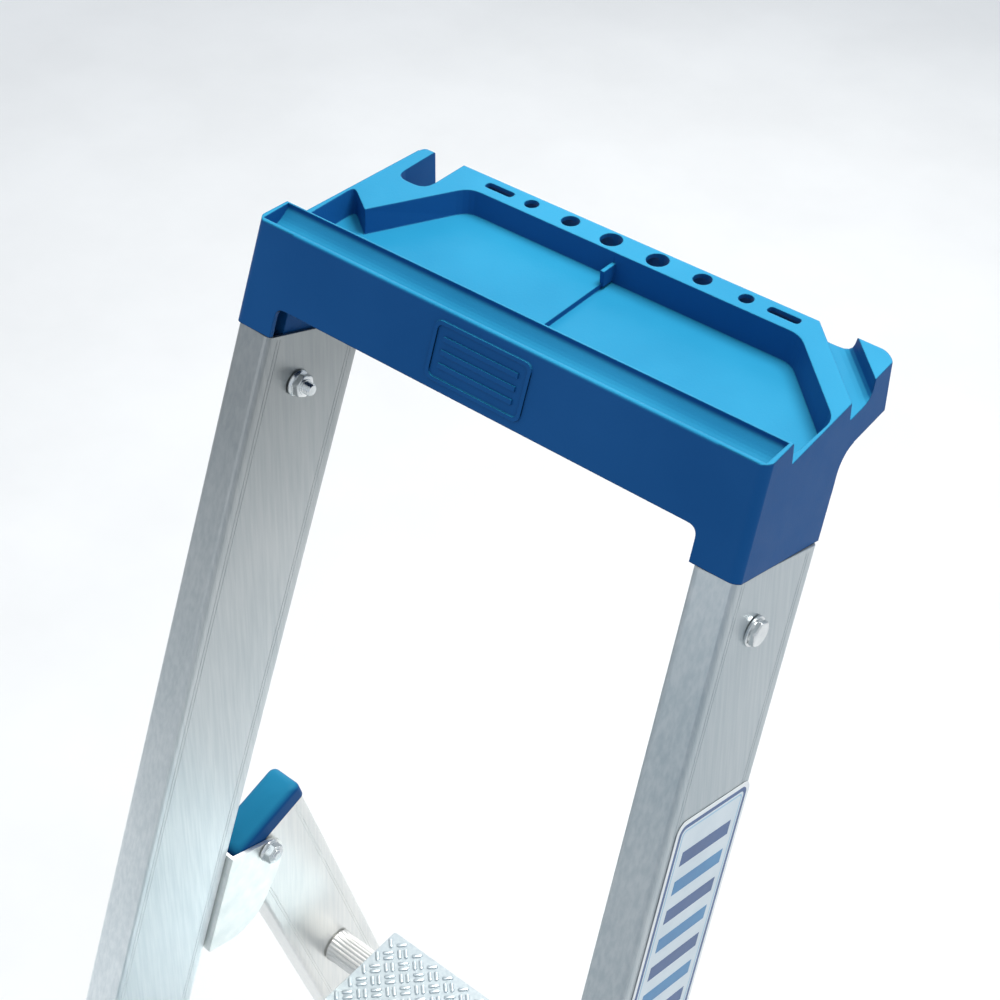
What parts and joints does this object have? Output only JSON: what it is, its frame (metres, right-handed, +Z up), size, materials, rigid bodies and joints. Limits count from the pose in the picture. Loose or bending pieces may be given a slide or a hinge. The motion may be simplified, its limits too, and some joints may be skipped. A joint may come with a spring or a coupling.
{
  "type": "step ladder",
  "caption": "Folding aluminium step ladder: box-section stiles, ribbed treads, a tear-plate platform, a hinged rear frame and a moulded blue tool tray on top",
  "frame": {"origin": "middle of the bounding box at floor level", "axes": "+X to the right seen from the climbing side, +Y from the climbing side to the rear frame, +Z up"},
  "size_m": [0.4646, 0.7786, 1.378],
  "materials": {
    "blue_plastic": "moulded with a fine texture",
    "aluminium": "extruded, fine lengthwise lines",
    "bracket_steel": "zinc plated sheet",
    "zinc": "bright zinc plated",
    "dark_plastic": "moulded",
    "sole_rubber": "grooved rubber",
    "label": "printed film"
  },
  "bodies": {
    "front_frame": {"bracket_rivet_left_lower": "zinc", "bracket_rivet_left_upper": "zinc", "bracket_rivet_right_lower": "zinc", "bracket_rivet_right_upper": "zinc", "front_shoe_left": "dark_plastic", "front_shoe_right": "dark_plastic", "front_sole_left": "sole_rubber", "front_sole_right": "sole_rubber", "front_stile_left": "aluminium", "front_stile_right": "aluminium", "pivot_bolt_left": "zinc", "pivot_bolt_right": "zinc", "pivot_bracket_left": "bracket_steel", "pivot_bracket_right": "bracket_steel", "pivot_nut_left": "zinc", "pivot_nut_right": "zinc", "platform_pivot_tube": "aluminium", "stile_label": "label", "tool_tray": "blue_plastic", "tray_bolt_left": "zinc", "tray_bolt_right": "zinc", "tray_nut_left": "zinc", "tray_nut_right": "zinc", "tread_lower": "aluminium", "tread_rivet_lower_left_1": "zinc", "tread_rivet_lower_left_2": "zinc", "tread_rivet_lower_right_1": "zinc", "tread_rivet_lower_right_2": "zinc", "tread_rivet_upper_left_1": "zinc", "tread_rivet_upper_left_2": "zinc", "tread_rivet_upper_right_1": "zinc", "tread_rivet_upper_right_2": "zinc", "tread_upper": "aluminium"},
    "rear_frame": {"pivot_bush_left_inner": "dark_plastic", "pivot_bush_left_outer": "dark_plastic", "pivot_bush_right_inner": "dark_plastic", "pivot_bush_right_outer": "dark_plastic", "rear_cap_left": "blue_plastic", "rear_cap_right": "blue_plastic", "rear_cross_tube_lower": "aluminium", "rear_cross_tube_upper": "aluminium", "rear_shoe_left": "dark_plastic", "rear_shoe_right": "dark_plastic", "rear_sole_left": "sole_rubber", "rear_sole_right": "sole_rubber", "rear_stile_left": "aluminium", "rear_stile_right": "aluminium"},
    "platform": {"platform_clip_left": "bracket_steel", "platform_clip_right": "bracket_steel", "platform_plate": "aluminium", "platform_rivet_left": "zinc", "platform_rivet_right": "zinc"}
  },
  "joints": [
    {"name": "rear_frame_fold", "type": "hinge", "parent": "front_frame", "child": "rear_frame", "pos_m": [0, 0.0606, 0.8847], "axis": [-1, 0, 0], "range_deg": [0, 36.9]},
    {"name": "platform_tilt", "type": "hinge", "parent": "front_frame", "child": "platform", "pos_m": [0, -0.0988, 0.68895], "axis": [1, 0, 0], "range_deg": [0, 70]}
  ]
}
